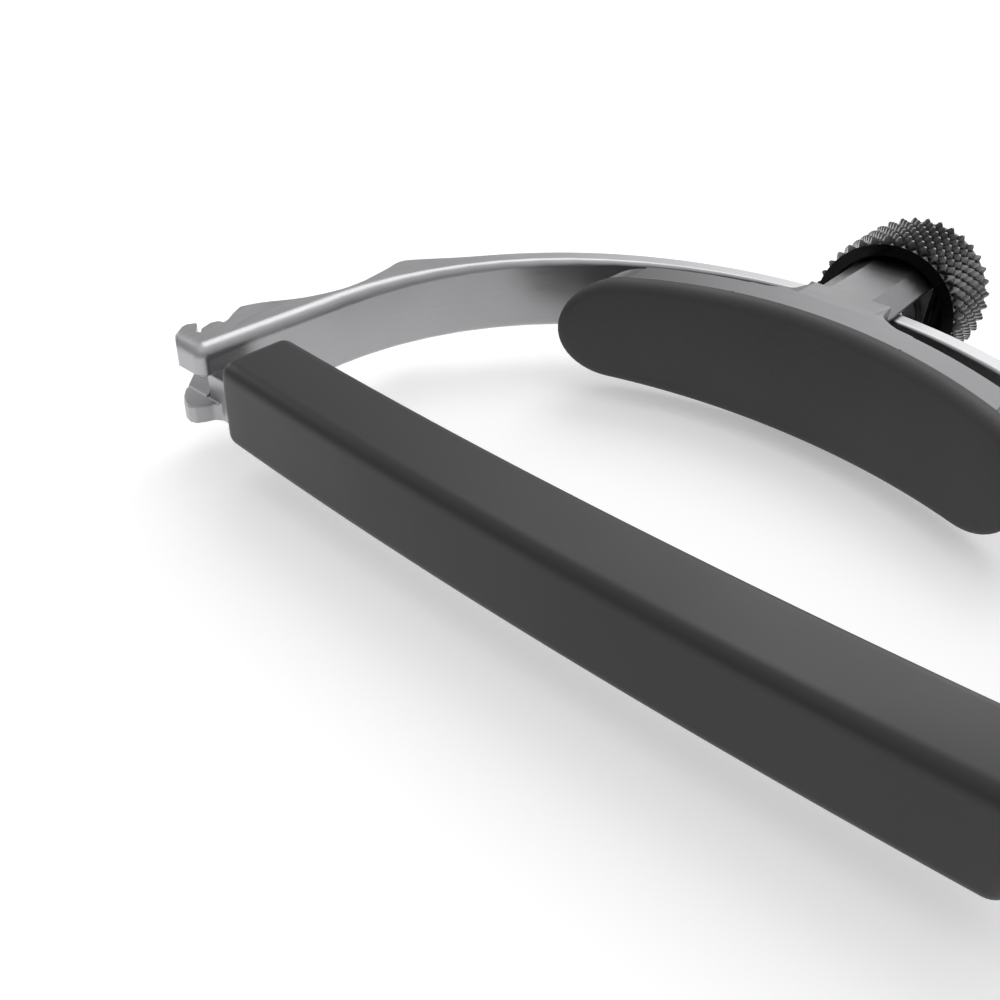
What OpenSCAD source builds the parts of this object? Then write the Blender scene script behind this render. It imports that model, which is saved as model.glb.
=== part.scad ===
// Yoke capo for a guitar neck. A steel yoke carries a hinged string bar across its
// open side, and a thumbscrew at its apex drives a saddle with a rubber neck pad.
// Drawn with X along the string bar, Y from the bar to the thumbscrew, Z up.

/* [String bar] */
// Length of the rubber sleeve along the bar
sleeve_len = 57.6; // [56:0.2:59.6]
// Depth of the sleeve, front to back
sleeve_depth = 6.5; // [6.2:0.1:6.8]
// Height of the sleeve
sleeve_h = 7; // [6.6:0.1:7.4]
// Radius of the rounded long edges of the sleeve
sleeve_edge_r = 1.1; // [0.4:0.1:1.4]
// Bow of the bar, matching the curve of a fretboard
bow_r = 415; // [300:5:600]

/* [Yoke] */
// Height of the yoke strip
strip_h = 6.5; // [6.3:0.1:6.6]
// Radius of the inner wall over the apex
inner_r = 30.8; // [30.6:0.1:31]
// Distance from the bar's front to the centre of the inner wall's arc
inner_cy = 14; // [13.8:0.1:14.2]
// Thickness of the strip at the apex
strip_t = 1.55; // [1.4:0.05:1.7]
// Half of the overall width, over the tip and the hinge
half_width = 35.4; // [35.4:0.1:36]

/* [Hinge] */
// Radius of the hinge ears and of the bar's eye
ear_r = 2.4; // [2.2:0.1:2.6]
// Radius of the hinge pin
hinge_pin_r = 1; // [0.8:0.05:1.1]

/* [Neck saddle] */
// Radius of the pad's hollow face
pad_r = 33; // [32:0.2:34]
// Distance from the bar's front to the middle of the pad's face
pad_y = 35; // [34.6:0.1:35.4]
// Length of the pad across the neck
pad_len = 38.8; // [38:0.2:42]
// Height of the pad at its middle
pad_h = 10.4; // [9.6:0.1:10.6]
// Radius of the long edges of the pad's outline
pad_edge_r = 180; // [120:5:200]
// Thickness of the rubber
rubber_t = 1.6; // [1.2:0.1:2]
// Thickness of the steel plate behind the rubber
plate_t = 2.8; // [2.4:0.1:3]
// Half of the fork's width
fork_half_w = 3.5; // [3.2:0.1:3.6]

/* [Thumbscrew] */
// Diameter of the knob over its knurl
knob_d = 13.8; // [13.6:0.1:14.4]
// Length of the knob
knob_len = 8.7; // [8.4:0.1:9]
// Distance from the bar's front to the knob's near face
knob_y = 52.4; // [52.4:0.1:52.8]
// Radius of the spindle's thread
spindle_r = 2; // [1.8:0.05:2]

/* [Hidden] */
$fn = 64;

total_len = knob_y + knob_len;
run_gap = 0.05;                     // radial play of a running fit
eps = 0.01;

// yoke
outer_r = 33.3;                     // outer wall over the apex, a little flatter than the inner
outer_cy = inner_cy + inner_r + strip_t - outer_r;
apex_y = inner_cy + inner_r;        // inner wall at the apex
leg_x = 31.25;                      // inner wall at the foot of each leg
prong_z = 0.9;                      // underside of the prong over the catch
prong_len = 6.3;                    // how far back the leg is cut away under the prong

// hinge
hinge_x = half_width - ear_r;
hinge_y = 4.4;
eye_h = 2.8;
clevis_gap = 3.5;
bush_r = 1.6;

// string bar
core_depth = 3;
core_h = 4.4;
core_y = (sleeve_depth - core_depth) / 2;
core_end = sleeve_len / 2 + 0.05;   // where the core comes out of the sleeve
tongue_top = 0.5;
tongue_x = 32.5;                    // end of the tongue
tooth_x = 32.85;                    // near side of the tooth beyond it
shelf_top = -1.75;
catch_back = 5.4;

// neck saddle, all its arcs struck from one centre
saddle_cy = pad_y - pad_r;
seam_r = pad_r + rubber_t;
plate_r = seam_r + plate_t;
pad_end_r = 4.4;                    // round ends of the pad's outline
arm_in = 3.5;                       // underside of each arm, just above the yoke strip
arm_out = 4.6;
arm_flat = 1.8;                     // half width of the arm's flat top
arm_edge = 3.75;                    // height of the bevel's lower edge
arm_start = 43;                     // where the bevels begin
flare_r = 3.2;
bridge_y = 53.4;
bridge_t = 1.6;

// thumbscrew
recess_r = 5.5;
web_y = 55.5;
web_t = 2.3;
seat_r = 1.5;
nut_t = 2.2;
cap_r = 4.5;
cap_t = 0.8;
groove_r = 1.5;
clip_y = 52.6;

// Points along an arc, in equal steps.
function arc(cx, cy, r, from, to, n) =
    [for (i = [0:n]) [cx + r * cos(from + (to - from) * i / n), cy + r * sin(from + (to - from) * i / n)]];

// A smooth line through the given points, with n steps between neighbours.
function smooth(p, n) = concat(
    [for (k = [0:len(p) - 2])
        for (i = [0:n - 1])
            let (t = i / n, a = p[max(k - 1, 0)], b = p[k], c = p[k + 1], d = p[min(k + 2, len(p) - 1)])
            0.5 * (2 * b + (c - a) * t + (2 * a - 5 * b + 4 * c - d) * t * t
                + (3 * b - a - 3 * c + d) * t * t * t)],
    [p[len(p) - 1]]);

// The origin is on the resting surface, under the middle of the object.
module placed() {
    translate([0, -total_len / 2, knob_d / 2]) children();
}

module slab(h, z = 0) {
    translate([0, 0, z - h / 2]) linear_extrude(height = h) children();
}

// Lays a profile drawn in X and Z along Y, from y to y + depth.
module along_y(y, depth) {
    translate([0, y + depth, 0]) rotate([90, 0, 0]) linear_extrude(height = depth) children();
}

module rod_y(r, y, depth) {
    along_y(y, depth) circle(r = r);
}

// ---- yoke ----

// Outer wall of one leg, from the end of the apex arc down to the waist.
shoulder = [[27.86, 31.3], [30, 28], [32, 25.25], [32.85, 23.6], [32.5, 21.6], [32.05, 18.6]];
// Outer wall of the catch leg from the waist to the swelling above its tip.
catch_flank = [[32.05, 18.6], [32.1, 16], [33, 12.7], [34.55, 9.8], [35.1, 8.1]];
// Tip of the catch leg: scoop, tooth, notch and prong end.
catch_tip = [[34.5, 6.9], [33.8, 5.9], [33.7, 5.5], [34.15, 5.3], [34.3, 4.7], [33.95, 3.65], [33.5, 3.25],
    [33.8, 3.05], [34.8, 3.85], [35, 3.9], [35.3, 3.3], [35.2, 2.7], [34.7, 1.9], [34.2, 1.45],
    [33.8, 1.35], [32.2, 1.35], [31.6, 1.5], [31.3, 2]];

module yoke_plan() {
    join = asin((31.3 - outer_cy) / outer_r);
    left = concat(smooth(shoulder, 4), smooth(catch_flank, 4), catch_tip);
    right = smooth(shoulder, 4);
    polygon(concat(
        [for (p = left) [-p[0], p[1]]],
        arc(0, inner_cy, inner_r, 180, 0, 60),
        [[leg_x, 7]],
        arc(hinge_x, hinge_y, ear_r, 180, 360, 24),
        [[half_width, 7.5], [33.1, 12.5]],
        [for (i = [len(right) - 1:-1:0]) right[i]],
        arc(0, outer_cy, outer_r, join, 180 - join, 48)));
}

module yoke() {
    color("silver") placed() difference() {
        slab(strip_h) yoke_plan();
        // room for the catch under the prong
        translate([-half_width - 1, 0, -strip_h]) cube([8, prong_len, strip_h + prong_z]);
        // clevis slot and pin hole
        translate([hinge_x - 5, 0, -clevis_gap / 2]) cube([10, hinge_y + ear_r + 0.4, clevis_gap]);
        translate([hinge_x, hinge_y, -strip_h]) cylinder(r = hinge_pin_r, h = 2 * strip_h);
        rod_y(2.6, apex_y - 2, 6);
    }
}

module thread_bush() {
    color("goldenrod") placed() difference() {
        union() {
            rod_y(2.6, apex_y - 0.5, 2.5);
            rod_y(3.1, apex_y - 1, 0.8);
        }
        rod_y(spindle_r + run_gap, apex_y - 2, 6);
    }
}

module hinge_pin() {
    color("silver") placed() translate([hinge_x, hinge_y, -strip_h / 2])
        cylinder(r = hinge_pin_r, h = strip_h);
}

module hinge_washers() {
    color("ivory") placed() for (side = [-1, 1])
        translate([hinge_x, hinge_y, side * (clevis_gap / 2 - 0.14)]) difference() {
            cylinder(r = ear_r - 0.3, h = 0.28, center = true);
            cylinder(r = hinge_pin_r + run_gap, h = 1, center = true);
        }
}

// ---- string bar ----

// Plan of a bowed strip: the front is convex, and both faces share the bar's bow.
module bowed(half, y0, depth) {
    sweep_f = asin(half / bow_r);
    sweep_b = asin(half / (bow_r - depth));
    cy = y0 + bow_r;
    polygon(concat(
        arc(0, cy, bow_r, 270 - sweep_f, 270 + sweep_f, 24),
        arc(0, cy, bow_r - depth, 270 + sweep_b, 270 - sweep_b, 24)));
}

module bar_sleeve() {
    half = sleeve_len / 2;
    color([0.2, 0.2, 0.2]) placed() difference() {
        union() {
            slab(sleeve_h - 2 * sleeve_edge_r) bowed(half, 0, sleeve_depth);
            slab(sleeve_h - sleeve_edge_r)
                bowed(half - 0.1, 0.3 * sleeve_edge_r, sleeve_depth - 0.6 * sleeve_edge_r);
            slab(sleeve_h) bowed(half - 0.4, sleeve_edge_r, sleeve_depth - 2 * sleeve_edge_r);
        }
        slab(core_h + 0.04) bowed(half + 1, core_y - 0.02, core_depth + 0.04);
    }
}

// Plan of the low shelf that carries the hook and the tooth.
catch_shelf = [[core_end, 2.6], [31.1, 2.6], [31.6, 2.25], [31.85, 1.6], [32.2, 0.95], [32.75, 0.75],
    [33.4, 0.9], [34.3, 1.5], [35, 2.15], [35.3, 2.7], [half_width, 3.7], [35.1, 5], [34.6, catch_back],
    [core_end, catch_back]];

// Profile of the catch's tooth, drawn in Y and Z: a slope that rises from the shelf.
catch_slope = [[2.55, shelf_top - 0.5], [2.55, shelf_top], [3.6, -0.6], [4.2, -0.2], [catch_back, -0.2],
    [catch_back, shelf_top - 0.5]];

module catch_plan() {
    polygon([for (p = catch_shelf) [-p[0], p[1]]]);
}

module bar_core() {
    neck_y = hinge_y - 1.3;
    color("silver") placed() difference() {
        union() {
            slab(core_h) bowed(core_end + eps, core_y, core_depth);
            // tongue, shelf and sloping tooth of the catch
            translate([-tongue_x, 2.6, -strip_h / 2])
                cube([tongue_x - core_end, catch_back - 2.6, strip_h / 2 + tongue_top]);
            translate([0, 0, -strip_h / 2]) linear_extrude(height = strip_h / 2 + shelf_top) catch_plan();
            intersection() {
                translate([-tooth_x - 5, 0, 0]) rotate([90, 0, 90]) linear_extrude(height = 5)
                    polygon(catch_slope);
                slab(strip_h) catch_plan();
            }
            // floor of the pocket between tongue and tooth
            translate([-tooth_x - eps, 3.4, -2]) cube([tooth_x - tongue_x + 2 * eps, catch_back - 3.4, 1.4]);
            // neck and eye of the hinge
            translate([core_end, neck_y, -eye_h / 2]) cube([hinge_x - core_end, 2.6, eye_h]);
            translate([hinge_x, hinge_y, -eye_h / 2]) cylinder(r = ear_r, h = eye_h);
        }
        translate([hinge_x, hinge_y, -eye_h]) cylinder(r = bush_r, h = 2 * eye_h);
    }
}

module hinge_bush() {
    color("goldenrod") placed() translate([hinge_x, hinge_y, 0]) difference() {
        cylinder(r = bush_r, h = eye_h, center = true);
        cylinder(r = hinge_pin_r + run_gap, h = 2 * eye_h, center = true);
    }
}

// ---- neck saddle ----

// Plan of a curved band struck from the saddle's centre.
module band(r_in, r_out) {
    half = pad_len / 2;
    a = asin(half / r_in);
    b = asin(half / r_out);
    polygon(concat(
        arc(0, saddle_cy, r_in, 90 + a, 90 - a, 40),
        arc(0, saddle_cy, r_out, 90 - b, 90 + b, 40)));
}

// Face-on outline of the pad: bowed long edges and round ends, taken in by inset.
module pad_face(inset) {
    h = pad_h / 2 - inset;
    r = pad_edge_r - inset;
    end_r = pad_end_r - inset;
    x = pad_len / 2 - inset - end_r;
    tilt = asin(x / (r - end_r));
    polygon(concat(
        arc(0, h - r, r, 90 - tilt, 90 + tilt, 24),
        arc(-x, 0, end_r, 90 + tilt, 270 - tilt, 20),
        arc(0, r - h, r, 270 - tilt, 270 + tilt, 24),
        arc(x, 0, end_r, tilt - 90, 90 - tilt, 20)));
}

module neck_pad() {
    soften = 0.45;                  // rounding of the rubber's front edge
    color([0.22, 0.22, 0.22]) placed() union() {
        intersection() {
            slab(2 * pad_h) band(pad_r + soften, seam_r);
            along_y(0, 60) pad_face(0);
        }
        intersection() {
            slab(2 * pad_h) band(pad_r, seam_r - 0.3);
            along_y(0, 60) pad_face(soften);
        }
    }
}

// Plan of the fork: straight sides that flare out into the plate.
module fork_plan() {
    root_y = saddle_cy + plate_r - 0.6;
    polygon(concat(
        [[fork_half_w, bridge_y + bridge_t]],
        arc(fork_half_w + flare_r, root_y + flare_r, flare_r, 180, 270, 12),
        [[fork_half_w + flare_r, root_y - 1.2], [-fork_half_w - flare_r, root_y - 1.2]],
        arc(-fork_half_w - flare_r, root_y + flare_r, flare_r, 270, 360, 12),
        [[-fork_half_w, bridge_y + bridge_t]]));
}

module pad_carrier() {
    root_y = saddle_cy + plate_r - 1.5;
    end_y = bridge_y + bridge_t;
    color("lightgrey") placed() difference() {
        union() {
            intersection() {
                slab(2 * pad_h) band(seam_r, plate_r);
                along_y(0, 60) pad_face(0);
            }
            for (side = [-1, 1]) scale([1, 1, side]) intersection() {
                slab(2 * arm_out + 2) fork_plan();
                along_y(root_y - 1, end_y) pad_face(0);
                translate([-10, 0, 0]) rotate([90, 0, 90]) linear_extrude(height = 20)
                    polygon([[root_y, arm_in], [root_y, pad_h / 2 + 1], [root_y + 1.2, pad_h / 2 + 0.05],
                        [arm_start, arm_out], [end_y, arm_out], [end_y, arm_in]]);
                union() {
                    translate([-10, 0, 0]) cube([20, arm_start, 10]);
                    along_y(arm_start - 1, end_y - arm_start + 2)
                        polygon([[-fork_half_w, 0], [-fork_half_w, arm_edge], [-arm_flat, arm_out],
                            [arm_flat, arm_out], [fork_half_w, arm_edge], [fork_half_w, 0]]);
                }
            }
        }
        bridge_pin_holes();
    }
}

module at_bridge_pins() {
    for (x = [-1.2, 1.2], side = [-1, 1])
        translate([x, bridge_y + bridge_t / 2, side * 3.3]) children();
}

module bridge_pin_holes() {
    at_bridge_pins() cylinder(r = 0.45, h = 2.4, center = true, $fn = 24);
}

module fork_bridge() {
    color("silver") placed() difference() {
        along_y(bridge_y, bridge_t) square([2 * fork_half_w, 2 * arm_in], center = true);
        rod_y(spindle_r + run_gap, bridge_y - 1, bridge_t + 2);
        bridge_pin_holes();
    }
}

module bridge_pins() {
    color("grey") placed() at_bridge_pins() cylinder(r = 0.45, h = 2.4, center = true, $fn = 24);
}

// ---- thumbscrew ----

module spindle() {
    color("silver") placed() difference() {
        union() {
            rod_y(spindle_r, 40.4, web_y - 40.4);
            rod_y(seat_r, web_y - eps, web_t + nut_t + 0.2);
        }
        difference() {
            rod_y(spindle_r + 1, clip_y, 0.5);
            rod_y(groove_r, clip_y - 1, 3);
        }
    }
}

module knob() {
    bevel = 0.5;
    end_y = knob_y + knob_len;
    r = knob_d / 2;
    color([0.08, 0.08, 0.08]) placed() rotate([-90, 0, 0]) rotate_extrude($fn = 96) polygon([
        [recess_r, knob_y], [r - bevel, knob_y], [r, knob_y + bevel], [r, end_y - bevel], [r - bevel, end_y],
        [cap_r, end_y], [cap_r, web_y + web_t], [seat_r, web_y + web_t], [seat_r, web_y], [recess_r, web_y]]);
}

module ring_y(r_in, r_out, y, t) {
    difference() {
        rod_y(r_out, y, t);
        rod_y(r_in, y - 1, t + 2);
    }
}

module thrust_washer() {
    color("ivory") placed() ring_y(spindle_r, 3.6, web_y - 0.42, 0.42);
}

module clip_washer() {
    color("ivory") placed() ring_y(spindle_r, 3.2, clip_y + 0.5, 0.24);
}

module retaining_clip() {
    color("grey") placed() ring_y(groove_r, 3, clip_y, 0.5);
}

module knob_nut() {
    color("silver") placed() difference() {
        along_y(web_y + web_t, nut_t) circle(d = 5.5 / cos(30), $fn = 6);
        rod_y(seat_r, web_y, 6);
    }
}

module knob_cap() {
    color([0.1, 0.1, 0.1]) placed() rod_y(cap_r, total_len - cap_t - 0.1, cap_t);
}

yoke();
thread_bush();
hinge_pin();
hinge_washers();
bar_core();
bar_sleeve();
hinge_bush();
pad_carrier();
neck_pad();
fork_bridge();
bridge_pins();
spindle();
knob();
thrust_washer();
clip_washer();
retaining_clip();
knob_nut();
knob_cap();
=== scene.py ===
import math
import bmesh
import bpy
from mathutils import Matrix, Vector


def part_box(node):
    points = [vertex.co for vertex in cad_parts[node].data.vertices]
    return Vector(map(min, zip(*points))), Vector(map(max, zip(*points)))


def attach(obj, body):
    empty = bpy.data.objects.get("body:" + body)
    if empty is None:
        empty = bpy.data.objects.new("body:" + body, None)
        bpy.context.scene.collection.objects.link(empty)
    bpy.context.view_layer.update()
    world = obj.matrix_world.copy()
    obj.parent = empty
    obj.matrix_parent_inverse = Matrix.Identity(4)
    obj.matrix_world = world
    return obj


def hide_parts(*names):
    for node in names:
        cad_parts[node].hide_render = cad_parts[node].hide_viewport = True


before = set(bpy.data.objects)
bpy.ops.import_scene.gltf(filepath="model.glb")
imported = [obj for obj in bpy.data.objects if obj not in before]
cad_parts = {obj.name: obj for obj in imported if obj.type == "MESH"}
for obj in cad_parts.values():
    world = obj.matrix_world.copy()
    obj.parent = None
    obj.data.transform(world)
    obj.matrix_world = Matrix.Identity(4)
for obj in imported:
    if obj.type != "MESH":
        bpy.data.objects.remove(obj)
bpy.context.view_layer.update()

# ---- Camera ----
# A normal lens held close over the hinge end of the bar, looking down along it to the catch.
# Places are given in millimetres from the middle of the bar's front face, as the capo is drawn.
mm = 0.001
bar_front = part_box("bar_sleeve")[0].y
mid_height = (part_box("knob")[0].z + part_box("knob")[1].z) / 2


def at(x, y, z):
    return Vector((x * mm, bar_front + y * mm, mid_height + z * mm))


camera_data = bpy.data.cameras.new("camera")
camera_data.sensor_width = 36
camera_data.lens = 36.18
camera_data.clip_start = 0.002
camera = bpy.data.objects.new("camera", camera_data)
bpy.context.scene.collection.objects.link(camera)
turn, tilt, roll = (math.radians(a) for a in (38.33, 35.94, 3.46))
camera.matrix_world = (
    Matrix.Translation(at(26.53, -35.38, 38.38))
    @ Matrix.Rotation(turn, 4, "Z")
    @ Matrix.Rotation(math.pi / 2 - tilt, 4, "X")
    @ Matrix.Rotation(roll, 4, "Z")
)
bpy.context.scene.camera = camera
bpy.context.scene.view_settings.view_transform = "Standard"

# ---- Table and studio light ----
# A white table top under the capo, lit by a bright ceiling and two soft boxes. None of it is
# part of the capo.
table_mesh = bpy.data.meshes.new("table")
table_bm = bmesh.new()
bmesh.ops.create_grid(table_bm, x_segments=1, y_segments=1, size=3)
table_bm.to_mesh(table_mesh)
table_bm.free()
table = bpy.data.objects.new("table", table_mesh)
bpy.context.scene.collection.objects.link(table)


def new_material(name, **sockets):
    """A material with one Principled shader, its sockets set by name. Returns it and the shader."""
    material = bpy.data.materials.new(name)
    material.use_nodes = True
    shader = material.node_tree.nodes["Principled BSDF"]
    for socket, value in sockets.items():
        shader.inputs[socket.replace("_", " ")].default_value = value
    return material, shader


def add_node(tree, kind, inputs=(), **settings):
    """A node with its settings, and its inputs each linked or set by index or name."""
    node = tree.nodes.new("ShaderNode" + kind)
    for setting, value in settings.items():
        setattr(node, setting, value)
    for socket, value in dict(inputs).items():
        if isinstance(value, bpy.types.NodeSocket):
            tree.links.new(value, node.inputs[socket])
        else:
            node.inputs[socket].default_value = value
    return node


def mapped(tree, value, span, to, **settings):
    """The result of a Map Range node that takes a value from one span of numbers to another."""
    ends = {"From Min": span[0], "From Max": span[1], "To Min": to[0], "To Max": to[1]}
    return add_node(tree, "MapRange", {"Value": value, **ends}, **settings).outputs[0]


white_top, _ = new_material(
    "white_top", Base_Color=(0.8, 0.8, 0.8, 1), Roughness=0.9,
    Emission_Color=(1, 1, 1, 1), Emission_Strength=0.34,
)
table_mesh.materials.append(white_top)

# the room is dim all round and lighter overhead, with one bright wall behind the thumbscrew
world = bpy.data.worlds.new("studio")
world.use_nodes = True
room = world.node_tree
wall_direction = (-0.06, 0.92, 0.38)
facing = add_node(room, "TexCoord").outputs["Generated"]
toward_wall = add_node(room, "VectorMath", {0: facing, 1: wall_direction}, operation="DOT_PRODUCT")
wall_glow = mapped(
    room, toward_wall.outputs["Value"], (0.84, 1.0), (0.0, 1.65), interpolation_type="SMOOTHSTEP"
)
overhead = add_node(room, "SeparateXYZ", {0: facing})
ceiling_glow = mapped(room, overhead.outputs["Z"], (0.35, 1.0), (0.44, 0.95))
glow = add_node(room, "Math", {0: wall_glow, 1: ceiling_glow}, operation="ADD")
room.nodes["Background"].inputs["Color"].default_value = (1, 1, 1, 1)
room.links.new(glow.outputs[0], room.nodes["Background"].inputs["Strength"])
bpy.context.scene.world = world


def soft_box(name, place, size, watts):
    """A square area light that faces the middle of the capo."""
    lamp = bpy.data.lights.new(name, "AREA")
    lamp.shape = "RECTANGLE"
    lamp.size, lamp.size_y = size, size
    lamp.energy = watts
    box = bpy.data.objects.new(name, lamp)
    bpy.context.scene.collection.objects.link(box)
    box.location = place
    box.rotation_euler = (at(0, 30, 0) - place).to_track_quat("-Z", "Y").to_euler()


soft_box("top_box", at(-120, 260, 420), size=0.30, watts=0.5)
soft_box("side_box", at(-420, -10, 160), size=0.12, watts=0.14)

# ---- Yoke ----
# One strip of stainless steel, bent to a bow and milled at its ends: a prong over the catch, a
# clevis for the hinge. Brushed along its length, its inner edges rounded off most at the catch.
sharp_angle = math.radians(32)
touching = 0.01 * mm


def merged_copy(node):
    """A bmesh of a CAD node, its loose triangles joined into whole flat faces."""
    bm = bmesh.new()
    bm.from_mesh(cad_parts[node].data)
    for layer in list(bm.loops.layers.uv):
        bm.loops.layers.uv.remove(layer)
    bmesh.ops.remove_doubles(bm, verts=bm.verts, dist=0.002 * mm)
    bmesh.ops.dissolve_limit(bm, angle_limit=math.radians(0.6), verts=bm.verts, edges=bm.edges)
    return bm


def add_piece(name, bm, material, body, *nodes, slot):
    """Makes the bmesh a smooth-shaded piece that rides on a body and stands for CAD nodes."""
    mesh = bpy.data.meshes.new(name)
    bm.to_mesh(mesh)
    bm.free()
    for spare in ("custom_normal", "sharp_face"):
        if spare in mesh.attributes:
            mesh.attributes.remove(mesh.attributes[spare])
    mesh.shade_smooth()
    mesh.set_sharp_from_angle(angle=sharp_angle)
    mesh.materials.append(material)
    piece = bpy.data.objects.new(name, mesh)
    bpy.context.scene.collection.objects.link(piece)
    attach(piece, body)
    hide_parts(*nodes)
    return piece


def round_edges(piece, width, segments=3, by_weight=False):
    """Rounds the piece's sharp edges by a live Bevel, all alike or each by its weight."""
    bevel = piece.modifiers.new("round_edges", "BEVEL")
    bevel.width = width * mm
    bevel.segments = segments
    bevel.limit_method = "WEIGHT" if by_weight else "ANGLE"
    bevel.angle_limit = sharp_angle
    bevel.use_clamp_overlap = False
    bevel.harden_normals = True


def new_group(name, inputs, outputs):
    """A shader node group with float inputs and the outputs given as (name, kind)."""
    group = bpy.data.node_groups.new(name, "ShaderNodeTree")
    for socket, value in inputs:
        made = group.interface.new_socket(socket, in_out="INPUT", socket_type="NodeSocketFloat")
        made.default_value = value
    for socket, kind in outputs:
        group.interface.new_socket(socket, in_out="OUTPUT", socket_type="NodeSocket" + kind)
    nodes = group.nodes
    return group, nodes.new("NodeGroupInput").outputs, nodes.new("NodeGroupOutput").inputs


def grouped_material(name, colour, group, values, **sockets):
    """A material whose tone, gloss and relief come from a shader group with its own values."""
    material, shader = new_material(name, Base_Color=(*colour, 1), **sockets)
    tree = material.node_tree
    surface = add_node(tree, "Group", values, node_tree=group).outputs
    tinted = add_node(
        tree, "Mix", {0: 1.0, 6: (*colour, 1), 7: surface["Shade"]}, data_type="RGBA", blend_type="MULTIPLY"
    )
    tree.links.new(tinted.outputs[2], shader.inputs["Base Color"])
    tree.links.new(surface["Roughness"], shader.inputs["Roughness"])
    tree.links.new(surface["Normal"], shader.inputs["Normal"])
    return material


# brushing: fine scratches that run round the bow, seen on walls and on the flat sides alike
brushing, given, brushed = new_group(
    "brushing",
    (("Fineness", 9000.0), ("Low", 0.3), ("High", 0.45), ("Depth", 0.1), ("Centre Y", 0.0)),
    (("Roughness", "Float"), ("Shade", "Float"), ("Normal", "Vector")),
)
place = add_node(brushing, "TexCoord").outputs["Object"]
apart = add_node(brushing, "SeparateXYZ", {0: place}).outputs
from_centre = add_node(
    brushing, "Math", {0: apart["Y"], 1: given["Centre Y"]}, operation="SUBTRACT"
).outputs[0]
flat_place = add_node(brushing, "CombineXYZ", {"X": apart["X"], "Y": from_centre}).outputs[0]
radius = add_node(brushing, "VectorMath", {0: flat_place}, operation="LENGTH").outputs["Value"]
bearing = add_node(brushing, "Math", {0: apart["X"], 1: from_centre}, operation="ARCTAN2").outputs[0]
across = add_node(brushing, "Math", {0: radius, 1: given["Fineness"]}, operation="MULTIPLY").outputs[0]
upward = add_node(brushing, "Math", {0: apart["Z"], 1: given["Fineness"]}, operation="MULTIPLY").outputs[0]
along = add_node(brushing, "Math", {0: bearing, 1: 7.0}, operation="MULTIPLY").outputs[0]
strokes = add_node(brushing, "CombineXYZ", {"X": across, "Y": along, "Z": upward}).outputs[0]
scratches = add_node(
    brushing, "TexNoise", {"Vector": strokes, "Scale": 1.0, "Detail": 4.0, "Roughness": 0.6}
).outputs[0]
clouds = add_node(brushing, "TexNoise", {"Vector": place, "Scale": 120.0, "Detail": 2.0}).outputs[0]
rough = mapped(brushing, scratches, (0.3, 0.7), (given["Low"], given["High"]))
both = add_node(brushing, "Math", {0: scratches, 1: clouds}, operation="ADD").outputs[0]
shade = mapped(brushing, both, (0.7, 1.3), (0.92, 1.06))
ridges = add_node(
    brushing, "Bump", {"Strength": given["Depth"], "Distance": 0.02 * mm, "Height": scratches}
).outputs[0]
brushing.links.new(rough, brushed["Roughness"])
brushing.links.new(shade, brushed["Shade"])
brushing.links.new(ridges, brushed["Normal"])


def steel(name, colour, low, high, depth, fineness=9000.0, centre=14.0):
    """Brushed stainless steel, its scratches struck round a centre on the capo's middle line."""
    values = {"Fineness": fineness, "Low": low, "High": high, "Depth": depth, "Centre Y": at(0, centre, 0).y}
    return grouped_material(name, colour, brushing, values, Metallic=1.0)


yoke_steel = steel("yoke_steel", (0.42, 0.42, 0.43), 0.3, 0.42, 0.2)
yoke_bm = merged_copy("yoke")
inner_fillet, arc_r, arc_centre = 1.1, 30.8 * mm, at(0, 14, 0)
prong_inner, prong_outer, prong_front, corner_reach = 31.25, 34.3, 1.35, 1.05 * mm
notch_floor, notch_near, notch_far, leg_foot = 33.25, 2.9, 6.0, 1.2
edge_break, apex_fade = 0.1, 0.78
waist_top, waist_foot, waist_fade = 13, 3, 0.062
strip_low, strip_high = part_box("yoke")[0].z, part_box("yoke")[1].z


def cut_across(bm, point, normal):
    """Cuts every face along a plane, leaving both sides in place."""
    bmesh.ops.bisect_plane(
        bm, geom=bm.verts[:] + bm.edges[:] + bm.faces[:], dist=0.001 * mm, plane_co=point, plane_no=normal
    )


# the prong's two front corners are drawn together to points, so that one round turns all three ways
for corner in (at(-prong_outer, prong_front, 0), at(-prong_inner, prong_front, 0)):
    near = [v for v in yoke_bm.verts if (v.co.xy - corner.xy).length < corner_reach]
    for z in sorted({round(v.co.z, 6) for v in near}):
        level = [v for v in near if v.is_valid and abs(v.co.z - z) < touching]
        bmesh.ops.pointmerge(yoke_bm, verts=level, merge_co=Vector((corner.x, corner.y, z)))
# the flat sides are cut into short lengths, so that each fillet has even faces to run across
for degrees in range(-84, 90, 6):
    a = math.radians(degrees)
    cut_across(yoke_bm, arc_centre, (math.cos(a), math.sin(a), 0))
for y in (4.0, 5.4, 6.6, 8.0, 9.5, 11.0, 12.5, 14.0):
    cut_across(yoke_bm, at(0, y, 0), (0, 1, 0))
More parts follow.
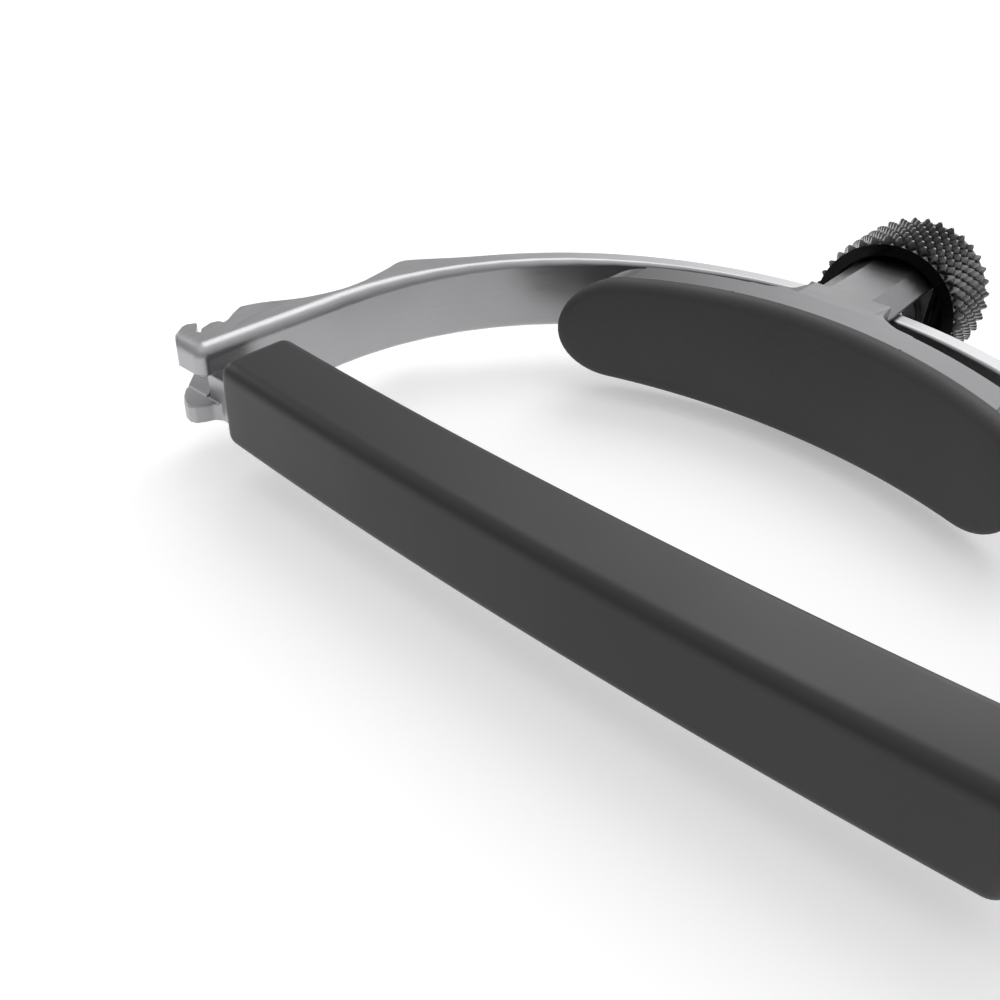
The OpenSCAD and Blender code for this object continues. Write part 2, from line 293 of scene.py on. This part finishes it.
# sharp edges are broken, except in the prong's notch; the fillet runs round the prong's front and
# up the inner rim, tapers off over the apex, and fades out towards the thin waist of the hinge leg
weights = yoke_bm.edges.layers.float.new("bevel_weight_edge")
for edge in yoke_bm.edges:
    if not edge.is_manifold or edge.calc_face_angle(0) < sharp_angle:
        continue
    ends = [v.co for v in edge.verts]
    middle = (ends[0] + ends[1]) / 2
    from_arc = middle - arc_centre
    catch_side = from_arc.x < 0
    on_rim = all(min(abs(co.z - strip_low), abs(co.z - strip_high)) < touching for co in ends)
    upright = abs(ends[0].z - ends[1].z) > 0.5 * mm
    if from_arc.y > 0:
        on_inner = abs(from_arc.xy.length - arc_r) < 0.15 * mm
    else:
        on_inner_face = arc_r - 0.1 * mm < abs(from_arc.x) < (prong_inner + 0.05) * mm
        on_inner = on_inner_face and middle.y > at(0, leg_foot, 0).y
    beside_notch = at(0, notch_near, 0).y < middle.y < at(0, notch_far, 0).y
    in_notch = beside_notch and middle.x < at(-notch_floor, 0, 0).x
    edge[weights] = 0.0 if in_notch else edge_break
    if on_rim and on_inner:
        edge[weights] = 1 - apex_fade * max(0.0, from_arc.y / arc_r) ** 1.3
        if not catch_side and from_arc.y < waist_top * mm:
            edge[weights] = max(edge_break, waist_fade * (from_arc.y / mm - waist_foot))
    if catch_side and middle.y < at(0, prong_front + 0.15, 0).y and middle.z > mid_height:
        if on_rim:
            edge[weights] = 1.0
        elif upright:
            edge[weights] = 0.8 if middle.x > at(-33, 0, 0).x else 0.45
yoke = add_piece("yoke_bow", yoke_bm, yoke_steel, "frame", "yoke", slot="yoke_steel")
round_edges(yoke, inner_fillet, segments=6, by_weight=True)

# ---- Threaded bush, hinge pin and hinge washers ----
# A brass bush riveted into the apex takes the spindle's thread. A steel pin, with a nylon washer
# on each side of the bar's eye, is the hinge.


def plain_metal(name, colour, roughness, grain=0.03):
    """Turned or drawn metal with a little uneven gloss."""
    material, shader = new_material(name, Metallic=1.0, Base_Color=(*colour, 1))
    tree = material.node_tree
    place = add_node(tree, "TexCoord").outputs["Object"]
    speckle = add_node(tree, "TexNoise", {"Vector": place, "Scale": 2500.0, "Detail": 3.0}).outputs[0]
    gloss = mapped(tree, speckle, (0.0, 1.0), (roughness - grain, roughness + grain))
    tree.links.new(gloss, shader.inputs["Roughness"])
    return material


def finish_cad(node, material):
    """Gives a CAD node whose shape is right its finish."""
    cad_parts[node].material_slots[0].material = material


brass = plain_metal("bush_brass", (0.66, 0.47, 0.2), 0.32)
bright_steel = plain_metal("bright_steel", (0.56, 0.56, 0.57), 0.25)
spring_steel = plain_metal("spring_steel", (0.16, 0.16, 0.17), 0.35)

# the skin of moulded rubber and plastic: fine pores and faint smears
moulded_skin, given, skin = new_group(
    "moulded_skin",
    (("Grain", 6000.0), ("Low", 0.45), ("High", 0.6), ("Depth", 0.1)),
    (("Roughness", "Float"), ("Shade", "Float"), ("Normal", "Vector")),
)
place = add_node(moulded_skin, "TexCoord").outputs["Object"]
grain = add_node(
    moulded_skin, "TexNoise", {"Vector": place, "Scale": given["Grain"], "Detail": 2.0}
).outputs[0]
smears = add_node(moulded_skin, "TexNoise", {"Vector": place, "Scale": 90.0, "Detail": 3.0}).outputs[0]
gloss = mapped(moulded_skin, smears, (0.3, 0.7), (given["Low"], given["High"]))
tone = mapped(moulded_skin, grain, (0.2, 0.8), (0.9, 1.1))
pores = add_node(
    moulded_skin, "Bump", {"Strength": given["Depth"], "Distance": 0.02 * mm, "Height": grain}
).outputs[0]
moulded_skin.links.new(gloss, skin["Roughness"])
moulded_skin.links.new(tone, skin["Shade"])
moulded_skin.links.new(pores, skin["Normal"])


def moulded(name, colour, low, high, depth):
    """Rubber or plastic with a fine grain, faintly smeared gloss and a slightly uneven tone."""
    return grouped_material(name, colour, moulded_skin, {"Low": low, "High": high, "Depth": depth})


nylon = moulded("nylon", (0.72, 0.69, 0.61), 0.42, 0.55, 0.05)
finish_cad("thread_bush", brass)
finish_cad("hinge_bush", brass)
finish_cad("hinge_pin", bright_steel)
finish_cad("hinge_washers", nylon)

# ---- String bar core ----
# The bar's steel core: an eye at the hinge end, and at the other a tongue with a low hook that
# snaps under the yoke's prong. Machined from flat bar, its outer edges broken.
core_steel = steel("core_steel", (0.42, 0.42, 0.43), 0.3, 0.42, 0.15)
core = add_piece(
    "string_bar_core", merged_copy("bar_core"), core_steel, "bar", "bar_core", slot="bar_steel"
)
round_edges(core, 0.16, segments=3)

# ---- String bar sleeve ----
# A thick rubber tube pulled over the core. It presses on the strings, so it follows the
# fretboard's bow.
sleeve_low, sleeve_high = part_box("bar_sleeve")
sleeve_len = sleeve_high.x - sleeve_low.x
sleeve_depth, sleeve_h = 6.5 * mm, sleeve_high.z - sleeve_low.z
sleeve_edge_r, bow_r, round_end = 1.14 * mm, 415 * mm, 1.2 * mm


def cut_along_x(bm, low, high, lengths):
    """Cuts the bmesh into equal lengths by planes across X, so that it can bend."""
    for i in range(1, lengths):
        cut_across(bm, (low + (high - low) * i / lengths, 0, 0), (1, 0, 0))


sleeve_bm = bmesh.new()
bmesh.ops.create_cube(
    sleeve_bm, size=1,
    matrix=Matrix.Translation((0, bar_front + sleeve_depth / 2, mid_height))
    @ Matrix.Diagonal((sleeve_len, sleeve_depth, sleeve_h, 1)),
)
bmesh.ops.bevel(
    sleeve_bm, geom=sleeve_bm.edges[:], affect="EDGES", offset=sleeve_edge_r, segments=8, profile=0.5,
    material=-1,
)
# it is cut across between its rounded ends, then bowed
cut_along_x(sleeve_bm, sleeve_low.x + round_end, sleeve_high.x - round_end, 41)
for v in sleeve_bm.verts:
    v.co.y += v.co.x ** 2 / (2 * bow_r)
bmesh.ops.recalc_face_normals(sleeve_bm, faces=sleeve_bm.faces)
bar_rubber = moulded("bar_rubber", (0.011, 0.011, 0.011), 0.4, 0.48, 0.06)
add_piece("string_bar_sleeve", sleeve_bm, bar_rubber, "bar", "bar_sleeve", slot="bar_rubber")

# ---- Saddle: carrier, bridge and pins ----
# The carrier is a curved steel plate with a fork that reaches over and under the yoke. A bridge,
# pinned between the fork's ends, rides on the spindle.
saddle_steel = steel("saddle_steel", (0.145, 0.145, 0.15), 0.28, 0.4, 0.06, fineness=5000.0, centre=2.0)
carrier_low, carrier_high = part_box("pad_carrier")
facets_start, arm_top, crease_lift = at(0, 43, 0).y, 4.6 * mm, 0.35 * mm
fork_reach = 6.9 * mm
carrier_bm = merged_copy("pad_carrier")
for v in carrier_bm.verts:
    height = v.co.z - mid_height
    if abs(v.co.y - facets_start) < 0.05 * mm and abs(abs(height) - arm_top) < 2 * touching:
        v.co.z += math.copysign(crease_lift, height)
cut_along_x(carrier_bm, carrier_low.x, carrier_high.x, 31)
# edges are broken all round, except where the fork's flare runs into the plate, and the fork's
# own creases stay crisp however slight they are
weights = carrier_bm.edges.layers.float.new("bevel_weight_edge")
carrier_bm.edges.index_update()
creases = []
for edge in carrier_bm.edges:
    if not edge.is_manifold:
        continue
    angle = edge.calc_face_angle(0)
    ends = [v.co for v in edge.verts]
    on_fork = all(abs(co.x) < fork_reach + 0.2 * mm for co in ends)
    beyond_root = all(abs(co.x) > fork_reach or co.y > facets_start + 0.3 * mm for co in ends)
    upright = abs(ends[0].z - ends[1].z) > 0.5 * edge.calc_length()
    if angle > sharp_angle and beyond_root:
        edge[weights] = 1.0
    if angle > math.radians(3) and on_fork and not upright:
        creases.append(edge.index)
carrier = add_piece("saddle_carrier", carrier_bm, saddle_steel, "saddle", "pad_carrier", slot="saddle_steel")
for index in creases:
    carrier.data.edges[index].use_edge_sharp = True
round_edges(carrier, 0.12, segments=2, by_weight=True)
bridge = add_piece(
    "saddle_bridge", merged_copy("fork_bridge"), saddle_steel, "saddle", "fork_bridge", slot="saddle_steel"
)
round_edges(bridge, 0.1, segments=2)
finish_cad("bridge_pins", bright_steel)

# ---- Neck pad ----
# Soft rubber moulded onto the plate, hollow to fit the back of a guitar neck, its rim rounded.
pad_low, pad_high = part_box("neck_pad")
pad_half, pad_half_h = (pad_high.x - pad_low.x) / 2, (pad_high.z - pad_low.z) / 2
edge_r, end_r, rim_r = 180 * mm, 4.4 * mm, 1.0 * mm
face_r, seam_r = 33 * mm, 34.6 * mm
thickness = seam_r - face_r
saddle_centre = at(0, 2, 0).y


def sweep_vertex(bm, vert, centre, degrees, steps):
    """Spins one vertex into an arc of edges about a centre and returns the arc's last vertex."""
    swept = bmesh.ops.spin(
        bm, geom=[vert], cent=centre, axis=(0, 1, 0), angle=math.radians(degrees), steps=steps,
        use_merge=False, use_duplicate=False,
    )
    return [g for g in swept["geom_last"] if isinstance(g, bmesh.types.BMVert)][0]


# the outline lies flat at first, two long bowed edges and two round ends
pad_bm = bmesh.new()
lean = math.asin((pad_half - end_r) / (edge_r - end_r))
upper = Vector((0, 0, mid_height + pad_half_h - edge_r))
lower = Vector((0, 0, mid_height - pad_half_h + edge_r))
start = upper + Vector((-math.sin(lean), 0, math.cos(lean))) * edge_r
vert = bmesh.ops.create_vert(pad_bm, co=start)["vert"][0]
long_turn, end_turn = 2 * math.degrees(lean), 180 - 2 * math.degrees(lean)
vert = sweep_vertex(pad_bm, vert, upper, long_turn, 27)
vert = sweep_vertex(pad_bm, vert, Vector((pad_half - end_r, 0, mid_height)), end_turn, 24)
vert = sweep_vertex(pad_bm, vert, lower, long_turn, 27)
sweep_vertex(pad_bm, vert, Vector((end_r - pad_half, 0, mid_height)), end_turn, 24)
bmesh.ops.remove_doubles(pad_bm, verts=pad_bm.verts, dist=touching)
outline = bmesh.ops.contextual_create(pad_bm, geom=pad_bm.edges[:])["faces"]
raised = bmesh.ops.extrude_face_region(pad_bm, geom=outline)
front = [g for g in raised["geom"] if isinstance(g, bmesh.types.BMVert)]
bmesh.ops.translate(pad_bm, verts=front, vec=(0, -thickness, 0))
rim = [e for e in pad_bm.edges if all(abs(v.co.y + thickness) < 0.1 * touching for v in e.verts)]
bmesh.ops.bevel(pad_bm, geom=rim, affect="EDGES", offset=rim_r, segments=6, profile=0.5, material=-1)
# then it is bent to the plate
cut_along_x(pad_bm, -pad_half - 0.3 * mm, pad_half + 0.3 * mm, 48)
for v in pad_bm.verts:
    v.co.y = saddle_centre + math.sqrt((seam_r + v.co.y) ** 2 - v.co.x ** 2)
bmesh.ops.recalc_face_normals(pad_bm, faces=pad_bm.faces)
pad_rubber = moulded("pad_rubber", (0.032, 0.032, 0.032), 0.6, 0.7, 0.05)
pad = add_piece("neck_pad_rubber", pad_bm, pad_rubber, "saddle", "neck_pad", slot="pad_rubber")

# ---- Spindle, nut, clip and washers ----
# An M4 steel screw, threaded from its tip to the knob. A spring clip in its groove and two black
# nylon washers hold the bridge, and a nut inside the knob locks it on.
thread_r, thread_depth, thread_pitch, seat_r = 2.0 * mm, 0.38 * mm, 0.7 * mm, 1.5 * mm
thread_end, groove, web_face = at(0, 52.2, 0).y, at(0, 52.6, 0).y, at(0, 55.5, 0).y
groove_len, tip_cut, rows_to_turn = 0.5 * mm, 0.4 * mm, 6
spindle_low, spindle_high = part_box("spindle")


def turned_on_axis(profile, steps):
    """A bmesh turned on the thumbscrew's axis from a line of (radius, y) points."""
    bm = bmesh.new()
    line = [bm.verts.new((r, y, mid_height)) for r, y in profile]
    edges = [bm.edges.new(pair) for pair in zip(line, line[1:])]
    bmesh.ops.spin(
        bm, geom=line + edges, cent=(0, 0, mid_height), axis=(0, 1, 0), angle=2 * math.pi, steps=steps,
        use_merge=True, use_duplicate=False,
    )
    bmesh.ops.remove_doubles(bm, verts=bm.verts, dist=0.2 * touching)
    return bm


def from_axis(vert):
    """How a vertex stands from the thumbscrew's axis, square to it."""
    return Vector((vert.co.x, 0, vert.co.z - mid_height))


rows = round((thread_end - spindle_low.y) / thread_pitch * rows_to_turn)
profile = [(0.0, spindle_low.y)]
profile += [(thread_r, spindle_low.y + thread_pitch * i / rows_to_turn) for i in range(rows + 1)]
profile += [(thread_r, groove - 0.02 * mm), (seat_r, groove)]
profile += [(seat_r, groove + groove_len), (thread_r, groove + groove_len + 0.02 * mm)]
profile += [(thread_r, web_face), (seat_r, web_face + 0.01 * mm)]
profile += [(seat_r, spindle_high.y), (0.0, spindle_high.y)]
spindle_bm = turned_on_axis(profile, 36)
# the thread's groove winds round the screw, and the tip is tapered so that it starts easily
for v in spindle_bm.verts:
    out = from_axis(v)
    from_tip = v.co.y - spindle_low.y
    if v.co.y < thread_end + touching and out.length > 0.5 * thread_r:
        turned = from_tip / thread_pitch + math.atan2(out.z, out.x) / (2 * math.pi)
        depth = thread_depth * (1 - min(1.0, 1.4 * abs(2 * (turned % 1) - 1)))
        lead_in = tip_cut * max(0.0, 1 - from_tip / (0.5 * mm))
        v.co -= out.normalized() * max(depth, lead_in)
bmesh.ops.recalc_face_normals(spindle_bm, faces=spindle_bm.faces)
add_piece("threaded_spindle", spindle_bm, bright_steel, "thumbscrew", "spindle", slot="bright_steel")
black_nylon = moulded("black_nylon", (0.02, 0.02, 0.02), 0.4, 0.55, 0.05)
finish_cad("knob_nut", bright_steel)
finish_cad("retaining_clip", spring_steel)
finish_cad("thrust_washer", black_nylon)
finish_cad("clip_washer", black_nylon)

# ---- Knob ----
# Turned from aluminium bar, with a recess for the fork, a coarse diamond knurl and a black
# anodised finish.
knob_near, knob_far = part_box("knob")[0].y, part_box("knob")[1].y
tip_r, root_r, recess_r, cap_r = 7.08 * mm, 6.3 * mm, 5.3 * mm, 4.5 * mm
floor_bore_r, seat_bore_r, tooth_flat = 2.2 * mm, 1.6 * mm, 0.26 * mm
teeth_round, rings = 36, 10
knurl_near, knurl_far = knob_near + 0.12 * mm, knob_far - 0.3 * mm
ring_pitch = (knurl_far - knurl_near) / rings
nut_seat, lip, cap_chamfer = at(0, 57.8, 0).y, 0.08 * mm, 0.25 * mm
profile = [(floor_bore_r, web_face), (recess_r, web_face), (recess_r, knob_near + lip)]
profile += [(recess_r + lip, knob_near), (root_r + 0.1 * mm, knob_near)]
profile += [(root_r, knurl_near + ring_pitch * i) for i in range(rings + 1)]
profile += [(root_r - 0.3 * mm, knob_far), (cap_r + cap_chamfer, knob_far)]
profile += [(cap_r, knob_far - cap_chamfer), (cap_r, nut_seat), (seat_bore_r, nut_seat)]
knob_bm = turned_on_axis(profile, 2 * teeth_round)
# every other point of the knurl's grid is drawn out into a tooth, whose tip is then cut flat
tips = []
for v in knob_bm.verts:
    out = from_axis(v)
    if abs(out.length - root_r) > touching:
        continue
    step = round(math.atan2(out.z, out.x) / (math.pi / teeth_round))
    ring = round((v.co.y - knurl_near) / ring_pitch)
    if 0 < ring < rings and (step + ring) % 2 == 0:
        v.co += out.normalized() * (tip_r - root_r)
        tips.append(v)
knurled = [f for f in knob_bm.faces if all(from_axis(v).length > root_r - touching for v in f.verts)]
bmesh.ops.triangulate(knob_bm, faces=knurled, quad_method="SHORT_EDGE")
bmesh.ops.bevel(
    knob_bm, geom=tips, affect="VERTICES", offset=tooth_flat, segments=1, profile=0.5, material=-1
)
bmesh.ops.recalc_face_normals(knob_bm, faces=knob_bm.faces)
knob_black = plain_metal("knob_black", (0.06, 0.06, 0.06), 0.2, grain=0.04)
# painted highlight: the teeth are painted paler towards their tips, standing in for the light they catch
tree = knob_black.node_tree
place = add_node(tree, "TexCoord").outputs["Object"]
axis_place = (0, 0, mid_height)
spread = add_node(tree, "VectorMath", {0: place, 1: axis_place}, operation="SUBTRACT")
spread = add_node(tree, "VectorMath", {0: spread.outputs[0], 1: (1, 0, 1)}, operation="MULTIPLY")
spread = add_node(tree, "VectorMath", {0: spread.outputs[0]}, operation="LENGTH")
# painted highlight: base colour rises from near black at the teeth's roots to pale grey at their tips
painted_tip_highlight = mapped(tree, spread.outputs["Value"], (root_r, tip_r), (0.022, 0.12))
tree.links.new(painted_tip_highlight, tree.nodes["Principled BSDF"].inputs["Base Color"])
add_piece("thumb_knob", knob_bm, knob_black, "thumbscrew", "knob", slot="knob_black")
finish_cad("knob_cap", moulded("cap_black", (0.02, 0.02, 0.02), 0.4, 0.5, 0.04))
